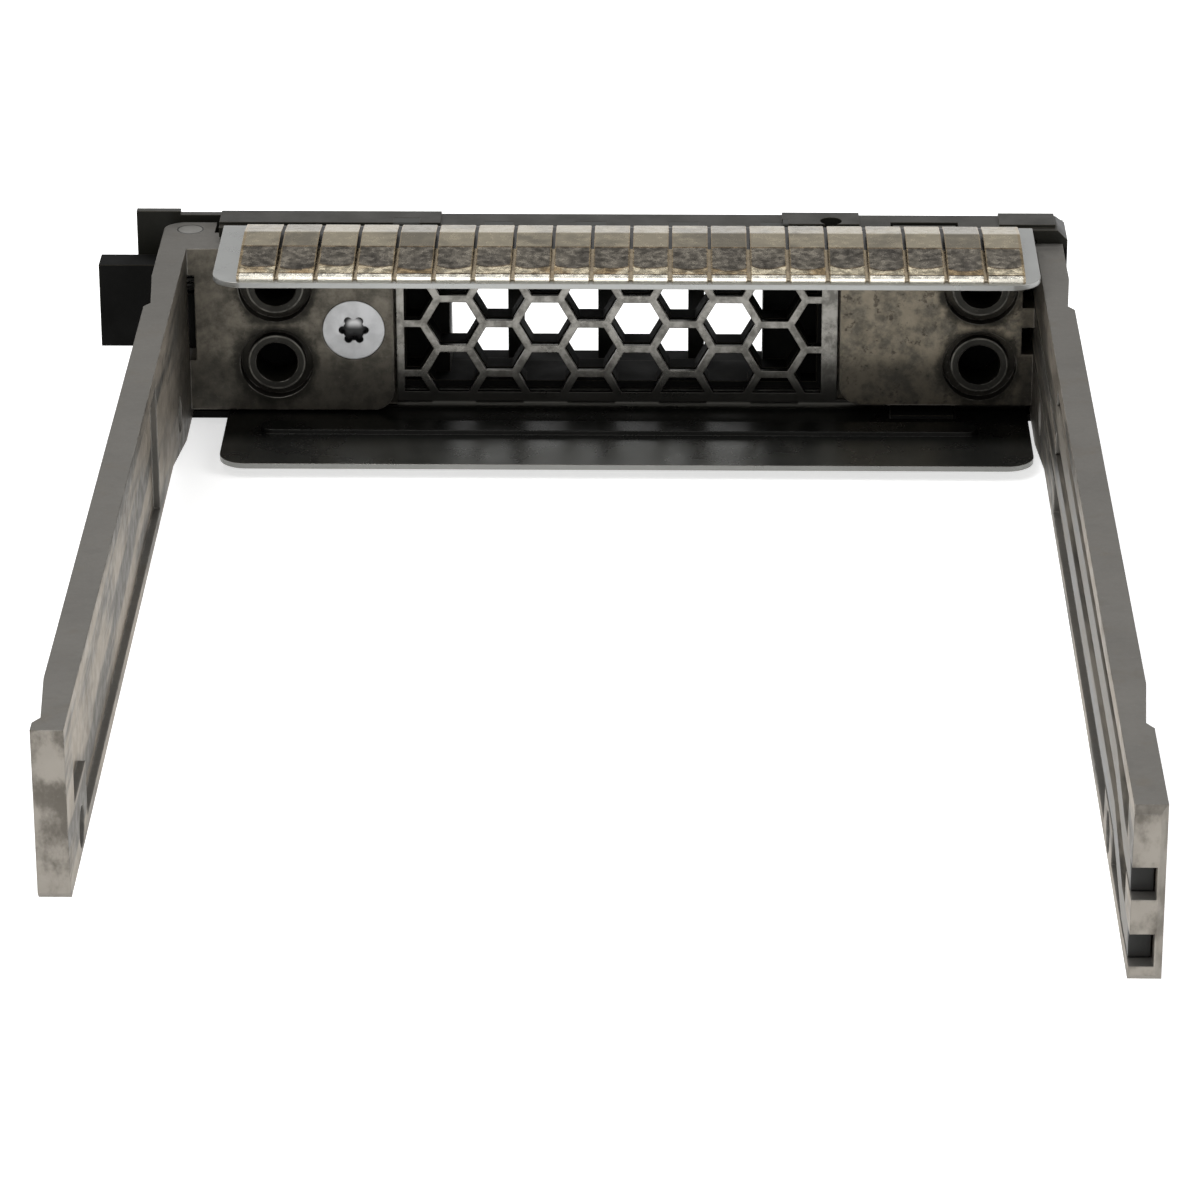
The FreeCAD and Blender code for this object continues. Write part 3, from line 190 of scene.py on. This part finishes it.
def make_floor():
    """A pale floor just under the part, white to the camera but for the part's shadow."""
    low = cad_box[0][2]
    corners = [(x, y, low) for x, y in ((-FLOOR_HALF, -FLOOR_HALF), (FLOOR_HALF, -FLOOR_HALF),
                                        (FLOOR_HALF, FLOOR_HALF), (-FLOOR_HALF, FLOOR_HALF))]
    mesh = bpy.data.meshes.new("floor")
    mesh.from_pydata(corners, [], [(0, 1, 2, 3)])
    floor = linked(bpy.data.objects.new("floor", mesh))
    material = bpy.data.materials.new("floor")
    material.use_nodes = True
    tree = Tree(material.node_tree)
    shader = material.node_tree.nodes["Principled BSDF"]
    tree.feed(shader.inputs["Base Color"], (FLOOR_TONE,) * 3)
    tree.feed(shader.inputs["Roughness"], FLOOR_ROUGHNESS)
    tree.feed(shader.inputs["Emission Color"], (1, 1, 1))
    path = tree.node("ShaderNodeLightPath").outputs
    seen = tree.larger(path["Is Camera Ray"], path["Is Glossy Ray"])
    seen = tree.larger(seen, path["Is Transmission Ray"])
    tree.feed(shader.inputs["Emission Strength"], tree.times(seen, FLOOR_GLOW))
    mesh.materials.append(material)


make_camera()
make_world()
make_floor()
for lamp in LAMPS:
    area_light(*lamp)
bpy.context.scene.view_settings.view_transform = "Standard"


# ---------------------------------------------------------------- material tools

EDGE_SAMPLES = 6
FLAT_DOT, SHARP_DOT = 0.995, 0.86  # how far the rounded normal agrees with the face, off and on an edge


class Recipe(Tree):
    """One material's node tree, in the part's own coordinates in millimetres."""

    def __init__(self, name):
        self.material = bpy.data.materials.new(name)
        self.material.use_nodes = True
        super().__init__(self.material.node_tree)
        self.shader = self.tree.nodes["Principled BSDF"]
        coords = self.node("ShaderNodeTexCoord").outputs
        self.place = self.vector("SCALE", coords["Object"], 1 / MM)
        self.x, self.y, self.z = self.node("ShaderNodeSeparateXYZ", {0: self.place}).outputs
        facing = self.node("ShaderNodeSeparateXYZ", {0: coords["Normal"]})
        self.face_x, self.face_y, self.face_z = facing.outputs

    def vector(self, operation, first, second):
        key = "Scale" if operation == "SCALE" else 1
        return self.node("ShaderNodeVectorMath", {0: first, key: second}, operation=operation).outputs[0]

    def noise(self, size, detail=3.0, roughness=0.55, stretch=(1, 1, 1), shift=0.0):
        """Cloudy noise from 0 to 1 whose blotches are about the given millimetres wide."""
        place = self.vector("MULTIPLY", self.place, stretch)
        place = self.vector("ADD", place, (shift, shift * 0.7, shift * 1.3))
        return self.node("ShaderNodeTexNoise", {"Vector": place, "Scale": 1 / size, "Detail": detail,
                                                "Roughness": roughness}).outputs["Fac"]

    def band(self, value, start, end, low=0.0, high=1.0):
        """Rises from low to high as the value goes from start to end, and stays there."""
        return self.node("ShaderNodeMapRange", {"Value": value, "From Min": start, "From Max": end,
                                                "To Min": low, "To Max": high},
                         interpolation_type="SMOOTHSTEP").outputs[0]

    def window(self, value, low, high, soft):
        """1 between low and high, fading over the soft width."""
        rise = self.band(value, low - soft, low + soft)
        fall = self.band(value, high - soft, high + soft, 1.0, 0.0)
        return self.times(rise, fall)

    def mix(self, amount, first, second):
        node = self.node("ShaderNodeMix", data_type="RGBA")
        self.feed(node.inputs["Factor"], amount)
        self.feed(node.inputs[6], first)
        self.feed(node.inputs[7], second)
        return node.outputs[2]

    def over(self, tone, colour, amount, strength):
        """The tone with a colour laid over it, as far as the amount and the strength say."""
        return self.mix(self.times(amount, strength), tone, colour)

    def distance(self, first, second):
        """How far a point lies from 0, 0."""
        return self.maths("SQRT", self.plus(self.times(first, first), self.times(second, second)))

    def edges(self, radius):
        """1 on edges sharper than the radius, in millimetres, with the rounded normal beside it."""
        bevel = self.node("ShaderNodeBevel", {"Radius": radius * MM}, samples=EDGE_SAMPLES).outputs[0]
        flat = self.node("ShaderNodeNewGeometry").outputs["Normal"]
        dot = self.node("ShaderNodeVectorMath", {0: bevel, 1: flat}, operation="DOT_PRODUCT")
        return self.band(dot.outputs["Value"], FLAT_DOT, SHARP_DOT), bevel

    def bump(self, height, depth, normal=None):
        """Bumps of the given depth in millimetres where the height runs from 0 to 1."""
        inputs = {"Height": height, "Distance": depth * MM, "Strength": 1.0}
        if normal is not None:
            inputs["Normal"] = normal
        return self.node("ShaderNodeBump", inputs).outputs[0]

    def set(self, **sockets):
        for key, value in sockets.items():
            self.feed(self.shader.inputs[key.replace("_", " ")], value)

    def dress(self, *names):
        for name in names:
            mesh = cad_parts[name].data
            mesh.materials.clear()
            mesh.materials.append(self.material)


# ---------------------------------------------------------------- the casting

# Here and below, a region's soft edge is a pair: where it starts and where it is full
RAIL_TOP, FACING_UP = (12.3, 12.6), (0.6, 0.9)
INNER_FACES = (-20.0, -30.0)  # X times the way the face looks
FRONT_SHADE = (-22.0, -3.0)
TIPS, FACING_BACK = (-90.0, -92.5), (-0.5, -0.8)
PAD_FACES = (-0.6, -0.2)
LEFT_PAD, RIGHT_PAD, PAD_SOFT = (-35.1, -18.0), (19.0, 35.1), 0.05
PAD_GAP, PAD_FOOT = (33.6, 34.5), (4.4, 1.6)
# The tube bosses stand in pairs, above and below one height; the rest are radii about their axes
LEFT_TUBE, RIGHT_TUBE = -27.9, 30.7
TUBE_MIDDLE, TUBE_SPREAD = 5.925, 3.375
MOAT, WALL, WALL_SOFT = (4.0, 3.15), (1.78, 2.36), 0.05
RIM_HIGHLIGHT, RIM_HIGHLIGHT_SOFT, BORE = (2.24, 2.37), 0.03, (1.80, 1.72)


def die_casting():
    """Grey conversion-coated casting: mottled, stained brown, rubbed pale on its edges."""
    grey = Recipe("die_casting")
    cloud = grey.noise(9.0, 4.0, 0.55)
    speck = grey.noise(0.30, 3.0, 0.7)
    tone = grey.mix(cloud, (0.112, 0.108, 0.100), (0.168, 0.161, 0.148))
    stain = grey.band(grey.noise(3.4, 6.0, 0.65, shift=11.0), 0.52, 0.74)
    tone = grey.over(tone, (0.130, 0.112, 0.088), stain, 0.45)

    # Long pale streaks and dark blots on the rails' inner faces, and painted shadow towards their front
    # ends
    inner = grey.band(grey.times(grey.face_x, grey.x), *INNER_FACES)
    streak = grey.noise(3.0, 4.0, 0.6, stretch=(1, 0.10, 1), shift=5.0)
    pale_streak = grey.times(inner, grey.band(streak, 0.42, 0.56))
    tone = grey.over(tone, (0.400, 0.352, 0.292), pale_streak, 0.85)
    blot = grey.noise(5.0, 5.0, 0.65, stretch=(1, 0.45, 1), shift=14.0)
    shade = grey.times(inner, grey.band(blot, 0.50, 0.66))
    tone = grey.over(tone, (0.070, 0.064, 0.055), shade, 0.42)
    # Painted shadow on the inner faces towards the front
    front_shadow = grey.times(inner, grey.band(grey.y, *FRONT_SHADE))
    tone = grey.over(tone, (0.075, 0.070, 0.062), front_shadow, 0.75)

    # Sooty patches on the rails' tips
    tips = grey.times(grey.band(grey.y, *TIPS), grey.band(grey.face_y, *FACING_BACK))
    tone = grey.mix(tips, tone, (0.295, 0.272, 0.238))
    soot = grey.band(grey.noise(3.0, 5.0, 0.62, stretch=(1, 1, 0.7), shift=31.0), 0.40, 0.60)
    tone = grey.over(tone, (0.125, 0.113, 0.096), tips, soot)

    # The pads, where the drive rubs and old residue has dried
    top = grey.times(grey.band(grey.z, *RAIL_TOP), grey.band(grey.face_z, *FACING_UP))
    pad = grey.times(grey.band(grey.y, *PAD_FACES), grey.minus(1.0, top))
    right = grey.times(pad, grey.window(grey.x, *RIGHT_PAD, PAD_SOFT))
    left = grey.times(pad, grey.window(grey.x, *LEFT_PAD, PAD_SOFT))
    dried = grey.noise(2.2, 6.0, 0.7, shift=3.0)
    residue = grey.mix(grey.band(dried, 0.36, 0.64), (0.092, 0.085, 0.070), (0.195, 0.176, 0.143))
    tone = grey.mix(left, tone, residue)
    residue = grey.mix(grey.band(dried, 0.36, 0.60), (0.125, 0.115, 0.094), (0.290, 0.252, 0.190))
    tone = grey.mix(right, tone, residue)
    # Painted shade in the gap between the right pad and the rail
    gap_shade = grey.times(right, grey.band(grey.x, *PAD_GAP))
    tone = grey.over(tone, (0.030, 0.028, 0.024), gap_shade, 0.6)
    crust = grey.band(grey.noise(0.9, 5.0, 0.7, shift=21.0), 0.56, 0.66)
    tone = grey.over(tone, (0.050, 0.042, 0.036), right, grey.times(crust, 0.75))
    # Darker towards the pads' feet: partly dried residue, partly painted shade
    low = grey.times(grey.plus(left, right), grey.band(grey.z, *PAD_FOOT))
    tone = grey.over(tone, (0.024, 0.023, 0.020), low, 0.62)

    # Painted shade in the moats, fading out over the pads, on the tubes' walls and down their bores, and a
    # painted highlight on the tubes' rims
    across = grey.minus(grey.x, grey.band(grey.x, -1.0, 1.0, LEFT_TUBE, RIGHT_TUBE))
    above = grey.minus(grey.maths("ABSOLUTE", grey.minus(grey.z, TUBE_MIDDLE)), TUBE_SPREAD)
    reach = grey.distance(across, above)
    wobble = grey.times(grey.minus(dried, 0.5), 1.6)
    # Painted shade in the moats
    moat_shade = grey.times(pad, grey.band(grey.plus(reach, wobble), *MOAT))
    tone = grey.over(tone, (0.018, 0.017, 0.014), moat_shade, 0.88)
    # Painted shade on the tubes' walls
    wall = grey.times(pad, grey.window(reach, *WALL, WALL_SOFT))
    tone = grey.over(tone, (0.034, 0.033, 0.029), wall, 0.9)
    # Painted highlight on the tubes' rims, broken up
    rim_highlight = grey.times(pad, grey.window(reach, *RIM_HIGHLIGHT, RIM_HIGHLIGHT_SOFT))
    rim_highlight = grey.times(rim_highlight, grey.band(grey.noise(1.2, 3.0, 0.6, shift=27.0), 0.35, 0.60, 0.25, 1.0))
    tone = grey.over(tone, (0.200, 0.194, 0.172), rim_highlight, 0.8)
    # Painted shade down the bores
    tone = grey.over(tone, (0.020, 0.019, 0.015), pad, grey.band(reach, *BORE))

    # Pale specks and rubbed edges
    tone = grey.over(tone, (0.24, 0.235, 0.22), grey.band(speck, 0.60, 0.75), 0.25)
    edge, soft = grey.edges(0.16)
    rub = grey.times(edge, grey.band(grey.noise(1.6, 4.0, 0.6, shift=8.0), 0.40, 0.62))
    tone = grey.over(tone, (0.36, 0.345, 0.315), rub, 0.60)
    rough = grey.band(grey.noise(1.4, 4.0, 0.6, shift=2.0), 0.3, 0.7, 0.34, 0.52)
    grain = grey.plus(grey.times(speck, 0.5), grey.noise(0.6, 2.0, 0.5, shift=4.0))
    grey.set(Metallic=0.55, Specular_IOR_Level=0.3, Specular_Tint=(0.50, 0.48, 0.45),
             Base_Color=tone, Roughness=rough, Normal=grey.bump(grain, 0.002, soft))
    grey.dress("tray_frame")


# ---------------------------------------------------------------- the shield and its fingers

UPPER_FLANGE, WEB_FOOT, WEB_BACK = (12.8, 13.4), (3.0, -0.6), (1.2, 0.6)
LOWER_FRONT, LOWER_EDGE, CLEAN_FROM = (-8.0, -4.5), (0.0, 1.0), (-0.5, 0.5)
FLANGE_REAR = (-10.2, -11.0)
UNDER_FINGERS, UNDER_SOFT = (-29.9, 33.4), 0.05
UNDER_BACK, UNDER_TOP = (-11.9, -11.6), (14.2, 14.25)
FIRST_FINGER, FINGER_PITCH = -30.0, 3.175
CREASE, LIP = -6.3, -12.1
SLIT_SIDE = (0.415, 0.445)  # from a finger's middle, as a share of the pitch
POOL_EDGE, POOL_LINE, POOL_SOFT = (-10.75, -10.90), (-10.90, -10.72), 0.07
POOL_CURVE, POOL_RISE, POOL_WAVE = 2.4, -0.7, 0.8


def shield_steel():
    """Stamped sheet, plain on the upper flange, darker lower down, most of all at the web's foot and near
    the lower flange's bend.
    """
    steel = Recipe("shield_steel")
    brush = steel.noise(0.5, 3.0, 0.6, stretch=(0.2, 1, 1))
    cloud = steel.noise(5.0, 4.0, 0.6, shift=6.0)
    upper = steel.mix(cloud, (0.305, 0.310, 0.300), (0.345, 0.350, 0.340))
    web = steel.mix(steel.band(steel.noise(1.2, 5.0, 0.68, shift=17.0), 0.36, 0.64),
                    (0.130, 0.125, 0.112), (0.300, 0.290, 0.265))
    lower = steel.mix(cloud, (0.165, 0.166, 0.156), (0.270, 0.271, 0.258))
    lower = steel.mix(steel.band(steel.y, *LOWER_FRONT), lower, (0.030, 0.030, 0.028))
    tone = steel.mix(steel.band(steel.z, *WEB_FOOT), web, (0.060, 0.058, 0.052))
    tone = steel.mix(steel.band(steel.y, *WEB_BACK), tone, lower)
    tone = steel.mix(steel.band(steel.z, *UPPER_FLANGE), tone, upper)
    spots = steel.band(steel.noise(0.7, 4.0, 0.7, shift=9.0), 0.62, 0.72)
    spots = steel.times(spots, steel.band(steel.z, *CLEAN_FROM))
    tone = steel.over(tone, (0.10, 0.095, 0.085), spots, 0.30)

    # Painted shade on the flange under the contact fingers
    under = steel.times(steel.window(steel.x, *UNDER_FINGERS, UNDER_SOFT), steel.band(steel.y, *UNDER_BACK))
    tone = steel.over(tone, (0.012, 0.010, 0.008), under, steel.band(steel.z, *UNDER_TOP))

    # Bright edges, but for the lower flange's sides
    edge, soft = steel.edges(0.10)
    rim = steel.larger(steel.band(steel.z, *LOWER_EDGE), steel.band(steel.y, *FLANGE_REAR))
    tone = steel.over(tone, (0.45, 0.42, 0.37), edge, steel.times(rim, 0.45))
    steel.set(Metallic=0.92, Base_Color=tone, Roughness=steel.band(cloud, 0.3, 0.7, 0.25, 0.36),
              Normal=steel.bump(brush, 0.002, soft))
    steel.dress("emi_shield")


def finger_metal():
    """Tin plated spring fingers with painted reflections: pale behind the crease, darker and mottled on the
    slope, with a painted highlight at the lip.
    """
    tin = Recipe("finger_metal")
    cell = tin.maths("DIVIDE", tin.minus(tin.x, FIRST_FINGER), FINGER_PITCH)
    along = tin.minus(tin.maths("FRACT", cell), 0.5)
    own = tin.node("ShaderNodeTexWhiteNoise", {"W": tin.maths("FLOOR", cell)},
                   noise_dimensions="1D").outputs["Value"]
    cloud = tin.noise(2.4, 3.0, 0.55)
    wave = tin.plus(cloud, tin.times(tin.minus(own, 0.5), 0.35))
    # Painted reflections: pale behind the crease, darker and mottled on the slope
    far = tin.mix(tin.band(wave, 0.30, 0.66), (0.160, 0.134, 0.086), (0.330, 0.282, 0.190))
    slope_mottle = tin.noise(2.0, 1.5, 0.45, stretch=(1, 0.7, 1), shift=12.0)
    middle = tin.mix(tin.band(slope_mottle, 0.25, 0.80), (0.096, 0.083, 0.066), (0.215, 0.190, 0.150))

    # A pool of brown along the foot of each slope, higher on some fingers: tarnish, partly painted
    # reflection
    arc = tin.times(tin.times(along, along), POOL_CURVE)
    shore = tin.plus(tin.minus(tin.y, arc), tin.times(own, POOL_RISE))
    shore = tin.plus(shore, tin.times(tin.minus(cloud, 0.5), POOL_WAVE))
    foot = tin.mix(tin.band(wave, 0.36, 0.62), (0.350, 0.250, 0.132), (0.660, 0.580, 0.420))
    tone = tin.mix(tin.band(shore, *POOL_EDGE), middle, foot)
    tone = tin.mix(tin.window(shore, *POOL_LINE, POOL_SOFT), tone, (0.130, 0.085, 0.040))

    # The crease and the lip, each with its brown line, and a painted highlight on the lip's hem
    tone = tin.mix(tin.band(tin.y, CREASE - 0.15, CREASE + 0.05), tone, far)
    tone = tin.mix(tin.window(tin.y, CREASE - 0.16, CREASE + 0.04, 0.06), tone, (0.170, 0.112, 0.052))
    # Painted highlight along the lip's folded hem
    tone = tin.mix(tin.band(tin.y, LIP + 0.62, LIP + 0.50), tone, (0.95, 0.91, 0.80))
    tone = tin.mix(tin.window(tin.y, LIP + 0.56, LIP + 0.74, 0.03), tone, (0.110, 0.070, 0.032))
    side = tin.band(tin.maths("ABSOLUTE", along), *SLIT_SIDE)
    tone = tin.over(tone, (0.300, 0.215, 0.105), side, 0.75)
    pores = tin.band(tin.noise(0.22, 3.0, 0.6, shift=7.0), 0.60, 0.72)
    tone = tin.over(tone, (0.10, 0.080, 0.055), pores, 0.10)
    rough = tin.band(tin.noise(0.7, 4.0, 0.6, shift=4.0), 0.3, 0.7, 0.14, 0.30)
    _, soft = tin.edges(0.05)
    tin.set(Metallic=1.0, Base_Color=tone, Roughness=rough,
            Normal=tin.bump(tin.noise(2.2, 0.0, 0.4, shift=1.0), 0.004, soft))
    tin.dress("finger_strip")


# ---------------------------------------------------------------- plastic, small steel, light pipes

BEZEL_TOP, BEZEL_INSIDE = (12.4, 12.8), (12.4, 12.0)
PLATE_BACK, LEVEL_FACE, DUSTY_LIT_FACE = (6.7, 6.5), (0.5, 0.8), (0.6, 0.95)
RING_PITCH = 0.16
SCREW_X, SCREW_Z, SCREW_TONE = -21.42, 5.51, (0.52, 0.525, 0.53)
DRIVE_DEPTH, DRIVE_FLOOR, DRIVE_GLINT = (0.10, 0.35), (1.06, 1.12), (0.85, 0.35)
PIN_X, PIN_Y, PIN_TONE = -35.2, 4.8, (0.20, 0.194, 0.178)
PIN_GAP_SHADE = (1.00, 1.12)
PIPE_END = (-102.6, -103.4)


def black_plastic():
    """Moulded plastic with a fine spark texture, dusty and painted lighter on top, with painted shade
    inside and painted highlights on its edges.
    """
    black = Recipe("black_plastic")
    # Dust, and painted light, on the bezel's top faces
    dust_and_top_light = black.times(black.band(black.face_z, *DUSTY_LIT_FACE), black.band(black.z, *BEZEL_TOP))
    patchy = black.band(black.noise(2.4, 5.0, 0.65), 0.25, 0.60, 0.45, 1.0)
    tone = black.mix(black.noise(4.0, 4.0, 0.6, shift=3.0), (0.0075, 0.0075, 0.006), (0.016, 0.0155, 0.012))
    tone = black.over(tone, (0.036, 0.034, 0.029), dust_and_top_light, patchy)
    # Painted shade inside the bezel, under its top
    hollow = black.larger(black.band(black.y, *PLATE_BACK), black.band(black.face_z, *LEVEL_FACE))
    inside = black.times(hollow, black.band(black.z, *BEZEL_INSIDE))
    tone = black.mix(inside, tone, (0.0035, 0.0035, 0.0030))
    # Painted brown highlights along the edges
    edge, soft = black.edges(0.12)
    tone = black.over(tone, (0.085, 0.073, 0.052), edge, 0.45)
    rough = black.band(black.noise(3.0, 3.0, 0.5, shift=5.0), 0.3, 0.7, 0.36, 0.50)
    rough = black.plus(rough, black.times(inside, 0.40))
    black.set(Specular_IOR_Level=0.12, Base_Color=tone, Roughness=rough,
              Normal=black.bump(black.noise(0.12, 2.0, 0.6), 0.008, soft))
    black.dress("front_bezel", "handle_lever", "release_button")


def turned_steel(steel, colour, first, second):
    """Sets the sheen and fine turning rings of plated steel; returns its tone and the radius."""
    radius = steel.distance(first, second)
    rings = steel.maths("SINE", steel.times(radius, 2 * math.pi / RING_PITCH))
    smudge = steel.noise(1.4, 4.0, 0.55)
    dark = tuple(channel * 0.90 for channel in colour)
    tone = steel.mix(steel.band(smudge, 0.40, 0.60), dark, colour)
    _, soft = steel.edges(0.08)
    steel.set(Metallic=0.85, Roughness=steel.band(smudge, 0.3, 0.7, 0.44, 0.36),
              Normal=steel.bump(rings, 0.0006, soft))
    return tone, radius


def screw_steel():
    """The screw's plated head, with painted shade down in its drive and a painted glint on the drive's
    floor.
    """
    steel = Recipe("screw_steel")
    up = steel.minus(steel.z, SCREW_Z)
    tone, radius = turned_steel(steel, SCREW_TONE, steel.minus(steel.x, SCREW_X), up)
    # Painted shade down in the drive
    tone = steel.mix(steel.band(steel.y, *DRIVE_DEPTH), tone, (0.045, 0.045, 0.045))
    # A painted glint on the drive's floor
    glint = steel.times(steel.window(steel.y, *DRIVE_FLOOR, 0.01), steel.band(radius, *DRIVE_GLINT))
    glint = steel.times(glint, steel.band(up, -0.35, 0.35))
    steel.set(Base_Color=steel.mix(glint, tone, (0.62, 0.62, 0.62)))
    steel.dress("bezel_screw")


def pin_steel():
    """The pin's end, with painted shade in a line round it where it meets the casting."""
    steel = Recipe("pin_steel")
    tone, radius = turned_steel(steel, PIN_TONE, steel.minus(steel.x, PIN_X), steel.minus(steel.y, PIN_Y))
    # Painted shade where the pin meets the casting
    steel.set(Base_Color=steel.mix(steel.window(radius, *PIN_GAP_SHADE, 0.04), tone, (0.020, 0.019, 0.017)))
    steel.dress("pivot_pin")


def spring_steel():
    """Oiled black spring wire."""
    wire = Recipe("spring_steel")
    drawn = wire.noise(0.2, 3.0, 0.6)
    wire.set(Metallic=0.8, Base_Color=wire.mix(drawn, (0.010, 0.010, 0.009), (0.036, 0.035, 0.032)),
             Roughness=wire.band(drawn, 0.3, 0.7, 0.30, 0.50))
    wire.dress("handle_spring")


def light_pipe():
    """Clear moulded pipe, clouded and streaked along its length, with painted shade on its end."""
    clear = Recipe("light_pipe")
    cloud = clear.noise(1.8, 4.0, 0.6, stretch=(1, 0.10, 1))
    tone = clear.mix(clear.band(cloud, 0.36, 0.62), (0.055, 0.051, 0.044), (0.235, 0.212, 0.178))
    # Painted shade on the pipe's end
    tone = clear.mix(clear.band(clear.y, *PIPE_END), tone, (0.030, 0.030, 0.028))
    _, soft = clear.edges(0.15)
    clear.set(IOR=1.49, Transmission_Weight=0.15, Specular_IOR_Level=0.2, Base_Color=tone,
              Roughness=clear.band(cloud, 0.3, 0.7, 0.34, 0.52), Normal=clear.bump(cloud, 0.02, soft))
    clear.dress("lower_light_pipe", "upper_light_pipe")


# ---------------------------------------------------------------- pieces made here

# The bezel's roof over its grille: name, left end, right end, rear edge, drop from the highest face
ROOF_STRIPS = (
    ("roof_strip", -19.5, 16.3, 2.36, 0.29),
    ("left_land_strip", -18.4, -15.6, 2.96, 0.01),
    ("right_land_strip", 14.25, 15.1, 2.96, 0.01),
)
ROOF_BASE, CELL_FRONT, ROOF_CHAMFER = 1.12, 4.14, 0.08
SPRING_WIRE, SPRING_TURNS, BUTTON_TRAVEL = 0.25, 5, 1.5
TURN_STEPS, WIRE_SIDES = 24, 8


def roof_strip(name, left, right, start, drop):
    """A rim of the bezel's roof over the grille, which closes the tops of its cells."""
    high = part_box("front_bezel")[1] / MM
    top, base, wall = high.z - drop, high.z - ROOF_BASE, CELL_FRONT
    profile = [(start + ROOF_CHAMFER, top), (wall, top), (wall, base), (start, base),
               (start, top - ROOF_CHAMFER)]
    build = bmesh.new()
    ends = [[build.verts.new(Vector((x, y, z)) * MM) for y, z in profile] for x in (left, right)]
    for here in range(len(profile)):
        there = (here + 1) % len(profile)
        build.faces.new((ends[0][here], ends[0][there], ends[1][there], ends[1][here]))
    build.faces.new(ends[0][::-1])
    build.faces.new(ends[1])
    strip = linked(bpy.data.objects.new(name, mesh_from(name, build)))
    strip.data.materials.append(bpy.data.materials["black_plastic"])
    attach(strip, "tray")


def coiled_spring(name, wire, turns):
    """The button's spring as a coil of round wire that fills the button spring's box."""
    low, high = (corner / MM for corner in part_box("button_spring"))
    middle = (low + high) / 2
    radius = (high.z - low.z - wire) / 2
    length = high.x - low.x
    pitch = (length - wire) / turns
    steps = turns * TURN_STEPS
    build = bmesh.new()
    rings = []
    for step in range(steps + 1):
        angle = 2 * math.pi * turns * step / steps
        out = Vector((0, math.cos(angle), math.sin(angle)))
        start = low.x + wire / 2 + pitch * turns * step / steps
        centre = Vector((start, middle.y, middle.z)) + radius * out
        ring = []
        for side in range(WIRE_SIDES):
            around = 2 * math.pi * side / WIRE_SIDES
            rim = math.cos(around) * out + Vector((math.sin(around), 0, 0))
            ring.append(build.verts.new((centre + wire / 2 * rim) * MM))
        rings.append(ring)
    for here, there in zip(rings, rings[1:]):
        for side in range(WIRE_SIDES):
            other = (side + 1) % WIRE_SIDES
            build.faces.new((here[side], here[other], there[other], there[side]))
    build.faces.new(rings[0][::-1])
    build.faces.new(rings[-1])
    spring = linked(bpy.data.objects.new(name, mesh_from(name, build)))
    spring.data.shade_smooth()
    spring.data.materials.append(bpy.data.materials["spring_steel"])
    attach(spring, "tray")
    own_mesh(spring)
    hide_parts("button_spring")


die_casting()
shield_steel()
finger_metal()
black_plastic()
screw_steel()
pin_steel()
spring_steel()
light_pipe()
for strip in ROOF_STRIPS:
    roof_strip(*strip)
coiled_spring("button_coil", SPRING_WIRE, SPRING_TURNS)
